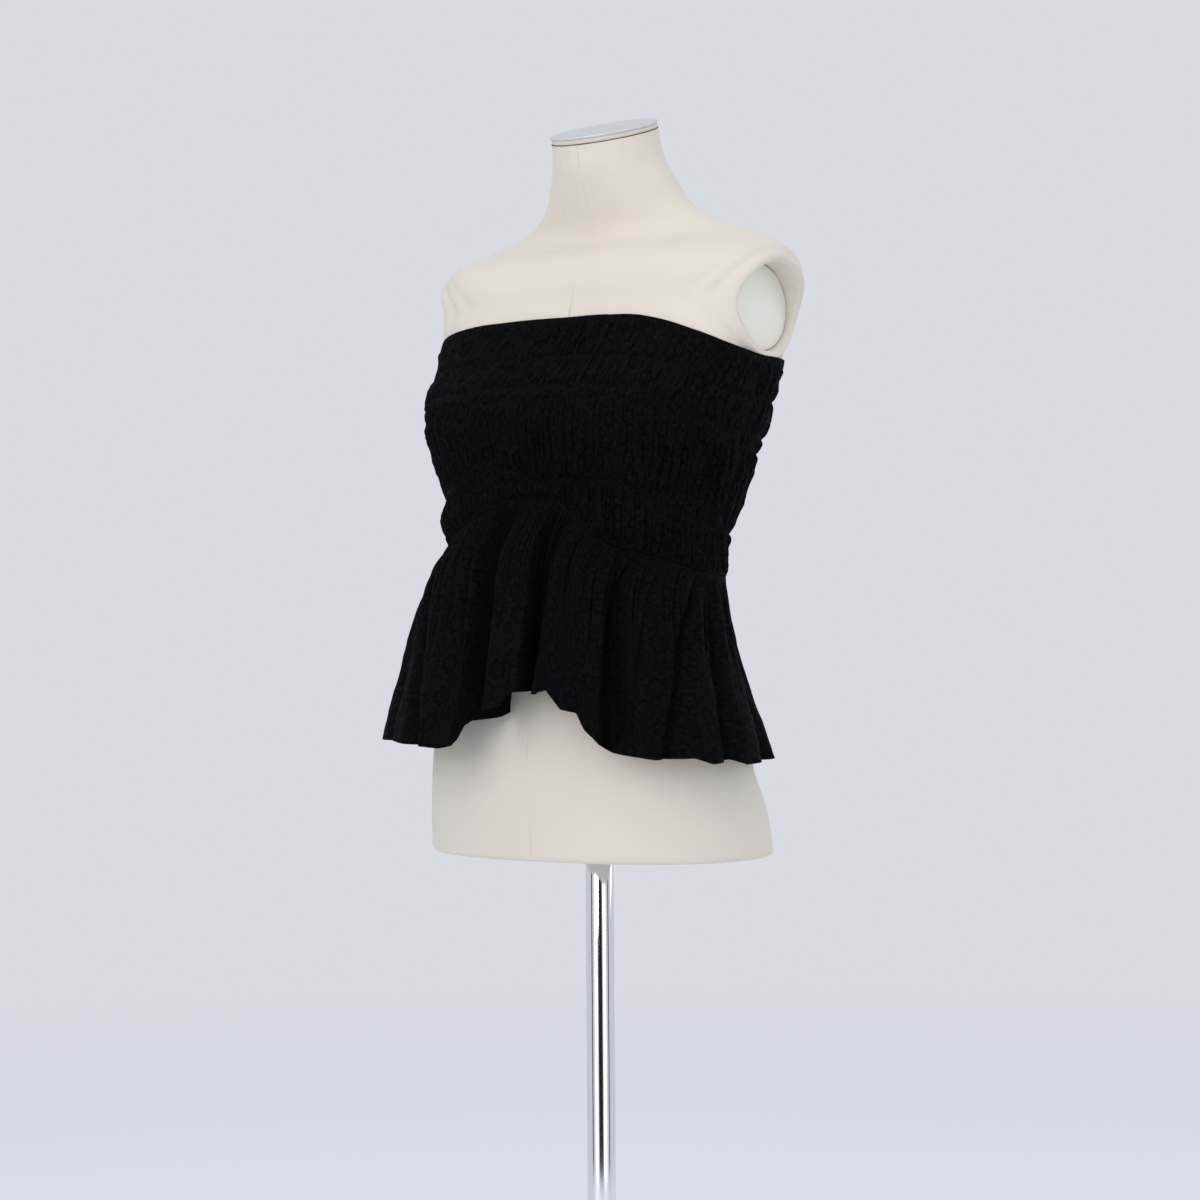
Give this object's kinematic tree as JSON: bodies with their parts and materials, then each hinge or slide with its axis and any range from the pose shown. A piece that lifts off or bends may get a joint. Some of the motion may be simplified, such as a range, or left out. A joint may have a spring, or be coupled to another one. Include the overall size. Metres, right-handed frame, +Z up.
{
  "type": "strapless shirred peplum top on a dress form",
  "caption": "Strapless tube top with a shirred bodice and a gathered peplum, worn by a limbless dress form on a pole with a round base.",
  "frame": {"origin": "centre of the base's underside, on the pole's axis", "axes": "+Z up along the pole; the front of the top and of the form faces -Y; the form's own left is +X"},
  "size_m": [0.417, 0.3612, 1.556],
  "materials": {
    "black_knit": "matte black textured knit",
    "form_cover": "off-white stretched jersey cover",
    "arm_plate_cloth": "pale cloth over a flat board",
    "cap_plastic": "satin light grey",
    "chrome_plate": "polished"
  },
  "bodies": {
    "root": {"bodice_front": "black_knit", "bodice_back": "black_knit", "peplum_front": "black_knit", "peplum_back": "black_knit", "form_body": "form_cover", "arm_plate_left": "arm_plate_cloth", "arm_plate_right": "arm_plate_cloth", "neck_cap": "cap_plastic", "pole": "chrome_plate", "base": "chrome_plate"}
  },
  "joints": []
}
